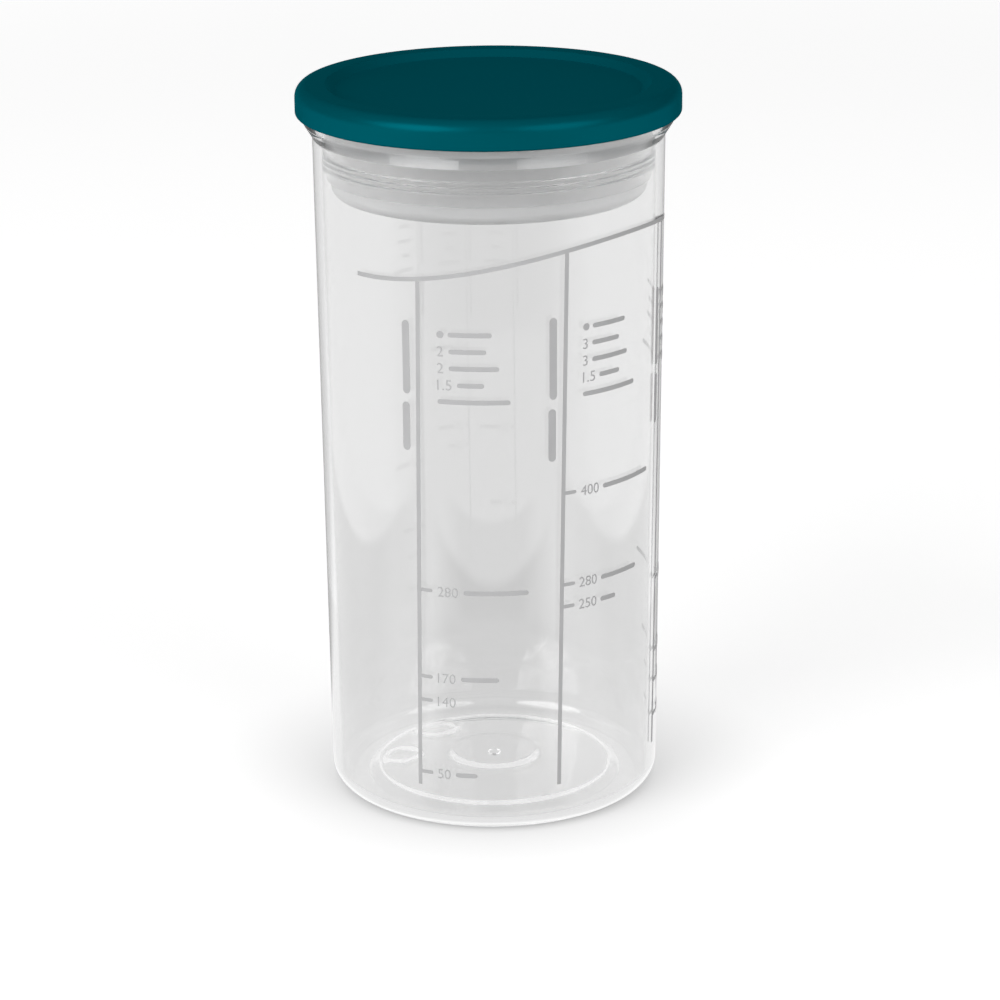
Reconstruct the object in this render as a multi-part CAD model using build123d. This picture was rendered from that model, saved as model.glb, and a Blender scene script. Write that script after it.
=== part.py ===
from build123d import *

import os
from math import ceil, cos, degrees, hypot, pi, radians, sin, sqrt, tan

# Salad dressing shaker: a clear moulded cup with a printed filling guide,
# closed by a push-in lid made of a coloured cap, a hollow plug and a lipped seal.
# Millimetres. +Z is up, the origin is on the table at the centre of the foot ring.
# Azimuths are counted from the -Y side, which carries the print, towards +X.

# Cup wall and mouth
foot_radius = 40.8            # outer radius of the wall, carried down to the table
wall_taper = 0.585            # degrees on each side, wider towards the mouth
wall = 2.0                    # measured level
rim_height = 174.1            # table to the top of the rim
collar_width = 2.022          # the collar round the mouth stands this far out from the wall
collar_depth = 5.1            # straight part of that collar, down from the rim
flare_rise = 3.3              # sloping underside of the collar
flare_blend = 2.0             # soft corner between the wall and that slope
collar_round = 0.8
mouth_round = 0.6

# Cup foot and floor
foot_round = 5.3              # outside corner between the wall and the foot
floor = 2.1                   # thickness of the floor
foot_width = 3.6              # level part of the floor, inside that rounding
floor_step_run = 2.7          # width of the slope up to the raised middle
floor_step_rise = 2.05        # height of that slope
floor_step_round = 0.8
dome_rise = 1.8               # the middle of the floor stands this much higher
gate_radius = 10.7            # round pad in the middle of the floor
gate_pad = 0.25               # height of that pad
pip_radius = 1.5              # moulding pip under the floor
pip_length = 0.8

# Two round moulding marks on the floor: ring radius and azimuth of each
mark_ring_radii = (5.2, 4.7)
mark_azimuths = (-140.0, -91.5)
mark_inset = 5.7              # from the edge of the raised middle to the ring's centre
mark_line = 0.6               # width of the raised ring
mark_height = 0.25

# Plug: hollow stopper that hangs in the mouth from its own flange
seat_gap = 0.3                # the flange floats this far above the rim
plug_flange = 1.6             # thickness of the flange
nose_length = 4.7             # the nose reaches this far below the seal
plug_wall = 1.5
plug_gap = 0.65               # room between the neck and the cup
plug_edge_round = 0.4
plug_edge_gap = 0.2           # between the flange's edge and the rounding inside the cap
nose_inset = 1.4              # the nose is this much smaller than the neck
nose_round = 3.0
nose_draft = 0.25

# Seal: a soft sleeve with three lips, seated in a groove round the plug
seal_drop = 10.4              # plug top to the sleeve's upper edge
seal_length = 9.4
seal_ledge = 0.6              # step that carries the sleeve's lower edge
seal_wall = 1.5
seal_fit = 0.05
lip_count = 3
lip_drop = 3.6                # sleeve's upper edge to the first lip
lip_pitch = 1.35
lip_root = 0.9
lip_tip = 0.5
lip_round = 0.2
lip_clearance = 0.2           # between the lips and the cup

# Cap: coloured disc with a skirt that hides the rim
cap_clearance = 0.3           # between the collar of the cup and the skirt
cap_wall = 1.6
cap_plate = 2.0
cap_skirt = 7.1               # height of the skirt
cap_top_round = 3.0
cap_edge_round = 0.6
cap_inner_round = 1.2
recess_rim = 7.3              # width of the raised border on top
recess_slope = 2.2            # width of the sloping edge of the recess
recess_depth = 1.6
recess_floor_round = 1.0
recess_edge_round = 0.4
spigot_wall = 1.4             # ring under the cap that snaps into the plug
spigot_length = 2.9           # below the cap's plate
spigot_fit = 0.05
snap_drop = 3.4               # plug top to the middle of the snap bead
snap_height = 0.3
snap_half_crest = 0.2
snap_half_root = 0.6
snap_clearance = 0.1

# Printed filling guide on the outside of the wall
ink = 0.1                     # thickness of the print
ink_gap = 0.04                # keeps the print's inner face off the curved wall
line_width = 1.05
tick_length = 3.0
tick_width = 0.9
tick_start_gap = 0.02
scale_bottom = 11.6           # lower end of the upright lines
scale_lean = 1.9              # each line's upper end lies this far round the wall from its foot
curve_join_gap = 0.12         # between the curve and the lines that hang from it
scale_places = {"scale_left": -19.3, "scale_middle": 16.6, "scale_right": 54.9}
scale_ticks = {
    "scale_left": (15.1, 34.0, 40.1, 62.3),
    "scale_middle": (57.5, 63.1, 86.2),
    "scale_right": (18.9, 27.9, 36.0, 55.0),
}
curve_drop = 35.9             # rim to the curve's lowest point
curve_rise = 9.0              # from there up to its crest
curve_run = 73.0              # distance round the wall from the lowest point to the crest
curve_low_place = -33.7       # place of the lowest point round the wall
curve_start = -35.0
curve_end = 67.0
curve_step = 2.5              # the curve is made of straight stretches, none longer than this

overrun = 5.0                 # joining tools reach this far past the surfaces
front = -90.0                 # degrees from +X round to the side that carries the print

# Heights and radii that follow from the sizes above
plug_underside = rim_height + seat_gap
plug_top = plug_underside + plug_flange
seal_top = plug_top - seal_drop
seal_bottom = seal_top - seal_length
plug_bottom = seal_bottom - nose_length
cap_top = plug_top + cap_plate
cap_bottom = cap_top - cap_skirt
recess_floor = cap_top - recess_depth


def outer_radius(height):
    return foot_radius + height * tan(radians(wall_taper))


def inner_radius(height):
    return outer_radius(height) - wall


neck_radius = inner_radius(seal_bottom) - plug_gap
nose_radius = neck_radius - nose_inset
seat_radius = nose_radius - seal_ledge
plug_bore = neck_radius - plug_wall
nose_bore = seat_radius - plug_wall
collar_radius = outer_radius(rim_height) + collar_width
skirt_bore = collar_radius + cap_clearance
plug_flange_radius = skirt_bore - cap_inner_round - plug_edge_gap
cap_radius = skirt_bore + cap_wall
recess_radius = cap_radius - recess_rim
spigot_radius = plug_bore - spigot_fit
snap_middle = plug_top - snap_drop
curve_low = rim_height - curve_drop
print_radius = outer_radius(curve_low)

# The whole raised middle keeps the floor's thickness, so its underside steps in by this much
step_shift = floor * (hypot(floor_step_run, floor_step_rise) - floor_step_run) / floor_step_rise
floor_step_radius = foot_radius - foot_round - foot_width
floor_ring_radius = floor_step_radius - floor_step_run
mark_place_radius = floor_ring_radius - mark_inset
under_edge_radius = floor_ring_radius - step_shift
foot_inner_radius = floor_step_radius - step_shift
ring_top = floor + floor_step_rise
dome_sphere = (floor_ring_radius**2 + dome_rise**2) / (2 * dome_rise)


def dome_height(radius):
    """Height of the floor's upper face over its ring edge."""
    return dome_rise - dome_sphere + sqrt(dome_sphere**2 - radius**2)


def turned(edges):
    """The solid that a closed outline of (radius, height) makes when it is turned about Z."""
    return revolve(Plane.XZ * make_face(edges), Axis.Z)


def turned_outline(corners, closing=()):
    """Turned solid from corners of (radius, height, rounding), and any edges that close them."""
    points = [(radius, height) for radius, height, rounding in corners]
    roundings = [rounding for radius, height, rounding in corners]
    path = FilletPolyline(*points, radius=roundings[1:-1])
    return turned(path.edges() + ShapeList(closing))


def floor_arc(from_radius, to_radius, raised):
    """Arc along the floor's domed face, from one radius to another."""
    middle = (from_radius + to_radius) / 2
    return ThreePointArc(
        *[(radius, raised + dome_height(radius)) for radius in (from_radius, middle, to_radius)]
    )


def floor_edges():
    """The raised middle of the floor: its upper face with the gate pad, then its underside."""
    pad_edge = gate_radius + gate_pad
    pad_top = ring_top + gate_pad
    return [
        floor_arc(floor_ring_radius, pad_edge, ring_top),
        Line((pad_edge, ring_top + dome_height(pad_edge)), (gate_radius, pad_top + dome_height(gate_radius))),
        floor_arc(gate_radius, 0, pad_top),
        Line((0, pad_top + dome_rise), (0, floor_step_rise + dome_rise)),
        floor_arc(0, under_edge_radius, floor_step_rise),
    ]


def floor_mark(ring_radius, azimuth):
    """A raised ring on the floor's domed face."""
    raised = ring_top + mark_height
    sunk = ring_top - mark_height
    layer = turned([
        floor_arc(floor_ring_radius, 0, raised),
        Line((0, raised + dome_rise), (0, sunk + dome_rise)),
        floor_arc(0, floor_ring_radius, sunk),
        Line((floor_ring_radius, sunk), (floor_ring_radius, raised)),
    ])
    angle = radians(front + azimuth)
    place = Pos(mark_place_radius * cos(angle), mark_place_radius * sin(angle), ring_top)
    ring = Cylinder(ring_radius, overrun) - Cylinder(ring_radius - mark_line, overrun + overrun)
    return layer & (place * ring)


def make_cup():
    """The cup: one moulding with a collar round its mouth and a raised middle in its floor."""
    collar_low = rim_height - collar_depth
    flare_low = collar_low - flare_rise
    corners = [
        (under_edge_radius, floor_step_rise + dome_height(under_edge_radius), 0),
        (foot_inner_radius, 0, floor_step_round),
        (foot_radius, 0, foot_round),
        (outer_radius(flare_low), flare_low, flare_blend),
        (collar_radius, collar_low, collar_round),
        (collar_radius, rim_height, collar_round),
        (inner_radius(rim_height), rim_height, mouth_round),
        (inner_radius(floor), floor, foot_round - wall),
        (floor_step_radius, floor, floor_step_round),
        (floor_ring_radius, ring_top, 0),
    ]
    cup = turned_outline(corners, floor_edges())
    pip_middle = floor_step_rise + dome_rise - pip_length / 2
    cup += Pos(0, 0, pip_middle) * Cylinder(pip_radius, pip_length + floor)
    for ring_radius, azimuth in zip(mark_ring_radii, mark_azimuths):
        cup += floor_mark(ring_radius, azimuth)
    return cup


def make_plug():
    """The hollow stopper, with the groove for the seal and the notch that the cap snaps into."""
    notch = snap_height + snap_clearance
    notch_root = snap_half_root + snap_clearance
    notch_crest = snap_half_crest + snap_clearance
    bore_step = plug_bore - nose_bore
    corners = [
        (0, plug_bottom, 0),
        (nose_radius - nose_draft, plug_bottom, nose_round),
        (nose_radius, seal_bottom, 0),
        (seat_radius, seal_bottom, 0),
        (seat_radius, seal_top, 0),
        (neck_radius, seal_top, 0),
        (neck_radius, plug_underside, plug_edge_round),
        (plug_flange_radius, plug_underside, plug_edge_round),
        (plug_flange_radius, plug_top, plug_edge_round),
        (plug_bore, plug_top, 0),
        (plug_bore, snap_middle + notch_root, 0),
        (plug_bore + notch, snap_middle + notch_crest, 0),
        (plug_bore + notch, snap_middle - notch_crest, 0),
        (plug_bore, snap_middle - notch_root, 0),
        (plug_bore, seal_top + bore_step, plug_wall / 2),
        (nose_bore, seal_top, plug_wall / 2),
        (nose_bore, plug_bottom + plug_wall, nose_round / 2),
        (0, plug_bottom + plug_wall, 0),
    ]
    return turned_outline(corners, [Line((0, plug_bottom + plug_wall), (0, plug_bottom))])


def make_seal():
    """The soft sleeve round the plug, with its lips."""
    inner = seat_radius + seal_fit
    outer = seat_radius + seal_wall
    low = seal_bottom + seal_fit
    high = seal_top - seal_fit
    corners = [(inner, low, 0), (outer, low, lip_round)]
    for lip in reversed(range(lip_count)):
        middle = seal_top - lip_drop - lip * lip_pitch
        reach = inner_radius(middle) - lip_clearance
        corners.append((outer, middle - lip_root / 2, lip_round))
        corners.append((reach, middle - lip_tip / 2, lip_round))
        corners.append((reach, middle + lip_tip / 2, lip_round))
        corners.append((outer, middle + lip_root / 2, lip_round))
    corners += [(outer, high, lip_round), (inner, high, 0)]
    return turned_outline(corners, [Line((inner, high), (inner, low))])


def make_cap():
    """The coloured cap, with its shallow round recess and the ring that holds the plug."""
    spigot_bottom = plug_top - cap_plate - spigot_length
    under_recess = recess_floor - cap_plate
    corners = [
        (0, recess_floor, 0),
        (recess_radius - recess_slope, recess_floor, recess_floor_round),
        (recess_radius, cap_top, recess_edge_round),
        (cap_radius, cap_top, cap_top_round),
        (cap_radius, cap_bottom, cap_edge_round),
        (skirt_bore, cap_bottom, cap_edge_round / 2),
        (skirt_bore, plug_top, cap_inner_round),
        (spigot_radius, plug_top, 0),
        (spigot_radius, snap_middle + snap_half_root, 0),
        (spigot_radius + snap_height, snap_middle + snap_half_crest, 0),
        (spigot_radius + snap_height, snap_middle - snap_half_crest, 0),
        (spigot_radius, snap_middle - snap_half_root, 0),
        (spigot_radius, spigot_bottom, 0),
        (spigot_radius - spigot_wall, spigot_bottom, 0),
        (spigot_radius - spigot_wall, under_recess, cap_edge_round),
        (0, under_recess, 0),
    ]
    return turned_outline(corners, [Line((0, under_recess), (0, recess_floor))])


def azimuth_angle(place):
    """Degrees from +X to a place that lies this far round the wall from its front."""
    return front + degrees(place / print_radius)


def curve_height(place):
    """Height of the printed curve at a place round the wall."""
    return curve_low + curve_rise * (1 - cos(pi * (place - curve_low_place) / curve_run)) / 2


def wall_patch(place, length, height, width):
    """A thin printed patch that follows the wall: its left end, length, middle height and width."""
    low = height - width / 2
    high = height + width / 2
    low_face = outer_radius(low) + ink_gap
    high_face = outer_radius(high) + ink_gap
    profile = Polyline(
        (low_face, low), (low_face + ink, low), (high_face + ink, high), (high_face, high), close=True
    )
    patch = revolve(Plane.XZ * make_face(profile), Axis.Z, degrees(length / print_radius))
    return Rot(0, 0, azimuth_angle(place)) * patch


def upright_line(place):
    """A printed line from the foot of a scale up to the curve, as a straight flat strip."""
    upper_place = place + scale_lean
    upper_height = curve_height(upper_place) - line_width / 2 - curve_join_gap
    facing = Rot(0, 0, azimuth_angle(place + scale_lean / 2))
    sections = []
    for end_place, height in ((place, scale_bottom), (upper_place, upper_height)):
        radius = outer_radius(height) + ink_gap + ink / 2
        angle = radians(azimuth_angle(end_place))
        middle = Pos(radius * cos(angle), radius * sin(angle), height)
        sections.append(middle * facing * Rectangle(ink, line_width))
    return loft(sections, ruled=True), upper_height


def make_scale(name):
    """One upright line with its ticks, each a separate printed mark."""
    place = scale_places[name]
    line, upper_height = upright_line(place)
    marks = [line]
    for height in scale_ticks[name]:
        share = (height - scale_bottom) / (upper_height - scale_bottom)
        start = place + scale_lean * share + line_width / 2 + tick_start_gap
        marks.append(wall_patch(start, tick_length, height, tick_width))
    return Compound([solid for mark in marks for solid in mark.solids()])


def make_curve():
    """The printed filling curve that sweeps round the wall above the scales."""
    sections = []
    steps = ceil((curve_end - curve_start) / curve_step)
    for step in range(steps + 1):
        place = curve_start + (curve_end - curve_start) * step / steps
        height = curve_height(place)
        radius = outer_radius(height) + ink_gap + ink / 2
        profile = Plane.XZ * Pos(radius, height) * Rectangle(ink, line_width)
        sections.append(Rot(0, 0, azimuth_angle(place)) * profile)
    return loft(sections, ruled=True)


def main():
    os.makedirs("parts", exist_ok=True)
    pieces = {
        "cup_body": make_cup(),
        "lid_cap": make_cap(),
        "lid_plug": make_plug(),
        "seal_ring": make_seal(),
        "fill_curve": make_curve(),
    }
    for name in scale_places:
        pieces[name] = make_scale(name)
    for name, piece in pieces.items():
        export_step(piece, f"parts/{name}.step")


main()
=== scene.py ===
from math import ceil, cos, pi, radians, sin, sqrt, tan

import bmesh
import bpy
from bpy.props import FloatProperty, FloatVectorProperty, IntProperty, PointerProperty
from mathutils import Matrix, Vector
from mathutils.geometry import delaunay_2d_cdt


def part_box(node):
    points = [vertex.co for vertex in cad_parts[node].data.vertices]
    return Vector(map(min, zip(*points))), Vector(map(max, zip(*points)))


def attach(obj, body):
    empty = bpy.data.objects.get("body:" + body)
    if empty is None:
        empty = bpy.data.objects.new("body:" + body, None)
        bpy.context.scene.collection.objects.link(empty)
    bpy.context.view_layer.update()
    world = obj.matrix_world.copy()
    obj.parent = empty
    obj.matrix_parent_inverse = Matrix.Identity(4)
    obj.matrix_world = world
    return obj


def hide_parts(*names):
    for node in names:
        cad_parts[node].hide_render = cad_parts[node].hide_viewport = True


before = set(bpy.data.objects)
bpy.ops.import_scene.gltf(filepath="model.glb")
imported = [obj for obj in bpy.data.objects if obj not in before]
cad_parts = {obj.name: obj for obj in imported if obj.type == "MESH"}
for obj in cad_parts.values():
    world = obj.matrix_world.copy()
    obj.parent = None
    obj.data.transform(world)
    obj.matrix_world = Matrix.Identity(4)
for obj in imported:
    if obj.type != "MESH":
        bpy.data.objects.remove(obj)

bl_info = {
    "name": "Salad dressing shaker",
    "version": (1, 0, 0),
    "blender": (4, 5, 0),
    "location": "3D View > Sidebar > Shaker",
    "description": "Makes the clear cup, its push-in lid and its printed filling guide round the frame",
    "category": "Object",
}

# Metres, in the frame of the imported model. The front of the cup, with the print, faces -Y.
mm = 0.001
arc_step = radians(8)         # the most that a rounding turns from one point to the next
merge_gap = 0.001 * mm        # points nearer to each other than this become one
front_angle = -pi / 2         # from +X round to the side that carries the print

cup_low, cup_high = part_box("cup_body")
cap_low, cap_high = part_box("lid_cap")
plug_low, plug_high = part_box("lid_plug")
seal_low, seal_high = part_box("seal_ring")


# Settings that a user would change

def length(name, default, description):
    return FloatProperty(name=name, description=description, default=default, unit="LENGTH", precision=5)


def angle(name, default, description):
    return FloatProperty(name=name, description=description, default=default, subtype="ANGLE")


def share(name, default, description):
    return FloatProperty(name=name, description=description, default=default, subtype="FACTOR")


def place_of(name, default, description):
    return FloatVectorProperty(name=name, description=description, default=default, subtype="TRANSLATION")


def colour(name, default, description):
    return FloatVectorProperty(
        name=name, description=description, default=default, size=4, min=0, max=1, subtype="COLOR"
    )


class ShakerCupSizes(bpy.types.PropertyGroup):
    """Sizes of the clear cup."""

    segments: IntProperty(name="Segments", description="Faces round every turned piece", default=320, min=24)
    foot_radius: length("Foot radius", 40.8 * mm, "Outer radius of the wall, carried down to the table")
    taper: angle("Taper", radians(0.585), "Slope of each side, wider towards the mouth")
    wall: length("Wall", 2.0 * mm, "Thickness of the wall")
    collar_depth: length("Collar depth", 5.1 * mm, "Straight part of the collar round the mouth")
    flare_rise: length("Flare rise", 3.3 * mm, "Height of the slope under the collar")
    flare_blend: length("Flare blend", 1.3 * mm, "Rounding between the wall and that slope")
    collar_round: length("Collar rounding", 0.8 * mm, "Rounding of the collar's two edges")
    mouth_round: length("Mouth rounding", 0.6 * mm, "Rounding of the rim's inner edge")
    foot_round: length("Foot rounding", 5.3 * mm, "Rounding between the wall and the foot")
    floor: length("Floor", 2.1 * mm, "Thickness of the floor")
    foot_width: length("Foot width", 3.6 * mm, "Level part of the floor, inside the foot's rounding")
    step_run: length("Step run", 2.7 * mm, "Width of the slope up to the raised middle of the floor")
    step_rise: length("Step rise", 2.05 * mm, "Height of that slope")
    step_round: length("Step rounding", 0.8 * mm, "Rounding at the foot of that slope")
    step_edge_round: length("Step edge", 0.45 * mm, "Rounding at the top of that slope")
    dome_rise: length("Dome rise", 1.8 * mm, "The middle of the floor stands this much higher")
    gate_radius: length("Gate radius", 10.7 * mm, "Round pad in the middle of the floor")
    gate_pad: length("Gate pad", 0.25 * mm, "Height of that pad")
    pip_radius: length("Pip radius", 1.5 * mm, "Moulding pip under the floor")
    pip_length: length("Pip length", 0.8 * mm, "Length of that pip")
    mark_inset: length("Mark inset", 5.7 * mm, "Edge of the raised middle to the centre of a moulding mark")
    mark_line: length("Mark line", 0.6 * mm, "Width of the raised rings of the moulding marks")
    mark_height: length("Mark height", 0.25 * mm, "Height of those rings")


class ShakerLidSizes(bpy.types.PropertyGroup):
    """Sizes of the cap, the plug and the seal."""

    cap_wall: length("Cap wall", 1.6 * mm, "Thickness of the cap's skirt")
    cap_plate: length("Cap plate", 2.0 * mm, "Thickness of the cap's top")
    cap_top_round: length("Cap top rounding", 3.0 * mm, "Rounding of the cap's upper edge")
    cap_edge_round: length("Cap edge rounding", 0.6 * mm, "Rounding of the skirt's lower edge")
    cap_inner_round: length("Cap inner rounding", 1.2 * mm, "Rounding in the corner inside the skirt")
    recess_rim: length("Recess rim", 7.3 * mm, "Width of the raised border on top")
    recess_slope: length("Recess slope", 2.2 * mm, "Width of the recess's sloping edge")
    recess_depth: length("Recess depth", 1.6 * mm, "Depth of the recess in the top")
    recess_floor_round: length("Recess floor rounding", 0.6 * mm, "Rounding at the foot of that slope")
    recess_edge_round: length("Recess edge rounding", 0.3 * mm, "Rounding at the top of that slope")
    spigot_wall: length("Spigot wall", 1.4 * mm, "Thickness of the ring that holds the plug")
    spigot_length: length("Spigot length", 2.9 * mm, "Length of that ring below the cap's top plate")
    snap_drop: length("Snap drop", 3.4 * mm, "Top of the plug to the middle of the snap bead")
    snap_height: length("Snap height", 0.3 * mm, "How far the snap bead stands out")
    snap_crest: length("Snap crest", 0.4 * mm, "Width of the bead's crest")
    snap_root: length("Snap root", 1.2 * mm, "Width of the bead at its root")
    snap_room: length("Snap room", 0.1 * mm, "Clearance round the bead")
    fit: length("Fit", 0.05 * mm, "Clearance between pieces that fit into each other")
    flange: length("Flange", 1.6 * mm, "Thickness of the plug's flange")
    plug_wall: length("Plug wall", 1.5 * mm, "Thickness of the plug's wall")
    plug_gap: length("Plug gap", 0.65 * mm, "Room between the plug's neck and the cup")
    plug_edge_round: length("Plug edge rounding", 0.4 * mm, "Rounding of the flange's edges")
    nose_inset: length("Nose inset", 1.4 * mm, "The nose is this much smaller than the neck")
    nose_draft: length("Nose draft", 0.25 * mm, "The nose narrows by this much")
    nose_round: length("Nose rounding", 3.0 * mm, "Rounding round the nose's end")
    seal_ledge: length("Seal ledge", 0.6 * mm, "Step that carries the seal's lower edge")
    seal_wall: length("Seal wall", 1.5 * mm, "Thickness of the seal's sleeve")
    lip_drop: length("Lip drop", 3.6 * mm, "The seal's upper edge to its first lip")
    lip_pitch: length("Lip pitch", 1.35 * mm, "Spacing of the lips")
    lip_root: length("Lip root", 0.9 * mm, "Thickness of a lip at its root")
    lip_tip: length("Lip tip", 0.5 * mm, "Thickness of a lip at its tip")
    lip_round: length("Lip rounding", 0.2 * mm, "Rounding of the lips")
    lip_count: IntProperty(name="Lips", description="How many lips the seal has", default=3, min=1)


class ShakerPrintSizes(bpy.types.PropertyGroup):
    """Sizes of the printed filling guide. Places are distances round the wall from its front."""

    ink: length("Ink", 0.05 * mm, "Thickness of the print")
    ink_lift: length("Ink lift", 0.04 * mm, "Keeps the print's inner face off the wall")
    line_width: length("Line width", 1.05 * mm, "Width of the curve and of the upright lines")
    tick_length: length("Tick length", 3.0 * mm, "Length of a tick")
    tick_width: length("Tick width", 0.9 * mm, "Width of a tick")
    scale_bottom: length("Scale bottom", 11.6 * mm, "Height of the lower end of the upright lines")
    scale_lean: length("Scale lean", 1.9 * mm, "From a line's foot round the wall to its upper end")
    join_gap: length("Join gap", 0.02 * mm, "Between a line and what meets it")
    curve_low: length("Curve low", 138.2 * mm, "Height of the curve's lowest point")
    curve_rise: length("Curve rise", 9.0 * mm, "From there up to its crest")
    curve_run: length("Curve run", 73.0 * mm, "Distance round the wall from that point to the crest")
    curve_low_place: length("Curve low place", -33.7 * mm, "Place of the lowest point")
    curve_start: length("Curve start", -35.0 * mm, "Place of the curve's left end")
    curve_end: length("Curve end", 67.0 * mm, "Place of the curve's right end")
    figure_height: length("Figure height", 2.5 * mm, "Height of the printed figures")
    word_bar: length("Bar", 1.15 * mm, "Thickness of the bars that stand beside the figures")


class ShakerFinishes(bpy.types.PropertyGroup):
    """Colours of the shaker's plastics and ink."""

    teal: colour("Teal", (0.0, 0.101, 0.13, 1.0), "Colour of the cap")
    clear: colour("Clear", (0.90, 0.90, 0.90, 1.0), "Tint of the cup's clear plastic")
    milky: colour("Milky", (0.93, 0.93, 0.93, 1.0), "Tint of the plug's slightly milky plastic")
    rubber: colour("Seal", (0.82, 0.82, 0.82, 1.0), "Tint of the soft seal")
    ink: colour("Ink", (0.6, 0.6, 0.605, 1.0), "Colour of the print")
    clear_ior: FloatProperty(
        name="Clear IOR", description="How strongly the clear plastic bends light", default=1.57
    )
    seal_ior: FloatProperty(name="Seal IOR", description="How strongly the seal bends light", default=1.5)


class ShakerStageSizes(bpy.types.PropertyGroup):
    """The camera and the set round the shaker."""

    camera_distance: length("Camera distance", 860 * mm, "In front of the shaker's axis")
    camera_height: length("Camera height", 354.5 * mm, "Above the table")
    camera_tilt: angle("Camera tilt", radians(18.06), "How far the camera looks down")
    camera_roll: angle("Camera roll", radians(0.53), "How far the camera leans to its right")
    focal_share: share("Focal length", 3.641, "Focal length over the width of the picture")
    shift_right: share("Shift right", 0.008, "The picture's middle lies right of the lens's axis")
    shift_up: share("Shift up", -0.007, "The picture's middle lies above the lens's axis")
    floor_radius: length("Floor radius", 4.0, "Radius of the floor")
    paper_tone: share("Paper tone", 0.9, "How much lamp light the white floor shows the camera")
    paper_glow: share("Paper glow", 0.56, "Light of its own that the camera sees on the floor")
    bounce_tone: share("Bounce tone", 0.5, "How much light the floor throws back on the shaker")
    table_front: length("Table front", 183 * mm, "From the shaker's axis to the table's front edge")
    table_side: length("Table side", 205 * mm, "From the shaker's axis to the table's side edges")
    card_reach: length("Card reach", 530 * mm, "How far the white cards round the table reach")
    room_level: share("Room level", 0.7, "Brightness of the room in front of the cards")
    room_bearing: angle("Room bearing", radians(42), "Bearing of the side edges of that room")
    room_softness: length("Room softness", 70 * mm, "Width of the soft edge between the cards and the room")
    edge_softness: length("Edge softness", 12 * mm, "Width of the soft edges of the table")
    far_level: share("Far level", 0.82, "Brightness of the table, seen straight through the cup")
    far_fade: length("Far fade", 1.6, "Distance at which the floor goes over into the surroundings")
    foot_level: share("Foot level", 0.84, "Brightness of the table under the cup, seen through the cup")
    foot_reach: length("Foot reach", 62 * mm, "How far out from the axis that brightness reaches")
    foot_softness: length("Foot softness", 30 * mm, "Width of its soft edge")
    under_level: share("Under level", 1.0, "Brightness of the table under the cup where it is mirrored")
    under_reach: length("Under reach", 46 * mm, "How far out from the axis that brightness reaches")
    under_softness: length("Under softness", 14 * mm, "Width of its soft edge")
    # Painted contact shadow: within this reach the paper's own glow is dimmed by ambient occlusion, down to
    # the shade glow beside the shaker.
    shade_reach: length("Shade reach", 38 * mm, "How far from the shaker the paper is a little darker")
    shade_glow: share("Shade glow", 0.12, "The paper's own light next to the shaker")
    horizon_level: share("Horizon level", 0.45, "Brightness near the horizon where it is mirrored")
    overhead_level: share("Overhead level", 0.06, "Brightness overhead where it is mirrored")
    overhead_edge: share("Overhead edge", 0.12, "Sine of the elevation where it turns dark")
    overhead_softness: share("Overhead softness", 0.2, "Softness of that change")
    through_level: share("Through level", 1.03, "Brightness all round where it is seen through clear plastic")
    world_level: share("World level", 0.35, "Light from all round on the shaker")
    top_level: share("Top level", 0.12, "Light from overhead on the shaker")
    key_place: place_of("Key place", (-2.3, -2.2, 1.8), "Where the key light stands")
    key_size: length("Key size", 3.2, "Width of the key light")
    key_power: FloatProperty(name="Key power", description="Watts of the key light", default=92.0)
    fill_place: place_of("Fill place", (2.2, -2.2, 1.8), "Where the fill light stands")
    fill_size: length("Fill size", 3.2, "Width of the fill light")
    fill_power: FloatProperty(name="Fill power", description="Watts of the fill light", default=54.0)


# Node trees

node_spacing = 180


def place(tree, kind, inputs=(), **options):
    """A new node in a tree. Its inputs map a socket to a value or to another node's output."""
    node = tree.nodes.new(kind)
    node.location = (node_spacing * len(tree.nodes), 0)
    for option, value in options.items():
        setattr(node, option, value)
    for socket, value in dict(inputs).items():
        if isinstance(value, bpy.types.NodeSocket):
            tree.links.new(value, node.inputs[socket])
        else:
            node.inputs[socket].default_value = value
    return node


def maths(tree, operation, first, second=0.0):
    return place(tree, "ShaderNodeMath", {0: first, 1: second}, operation=operation).outputs[0]


def new_tree(name, kind, inputs, outputs):
    """A node group with named inputs and outputs, and its input and output nodes."""
    tree = bpy.data.node_groups.new(name, kind)
    for socket_name, (socket_type, default) in inputs.items():
        socket = tree.interface.new_socket(socket_name, in_out="INPUT", socket_type=socket_type)
        if default is not None:
            socket.default_value = default
    for socket_name, socket_type in outputs.items():
        tree.interface.new_socket(socket_name, in_out="OUTPUT", socket_type=socket_type)
    given = tree.nodes.new("NodeGroupInput").outputs
    result = tree.nodes.new("NodeGroupOutput").inputs
    return tree, given, result


def group_of(name, make):
    """A node group by its name, made when it is first needed."""
    return bpy.data.node_groups.get(name) or make()


def end_tree(tree, geometry, finish, result):
    """Ends a geometry tree in real geometry that has its finish."""
    real = place(tree, "GeometryNodeRealizeInstances", {"Geometry": geometry})
    finished = place(
        tree, "GeometryNodeSetMaterial", {"Geometry": real.outputs[0], "Material": finish}
    )
    tree.links.new(finished.outputs[0], result)


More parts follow.
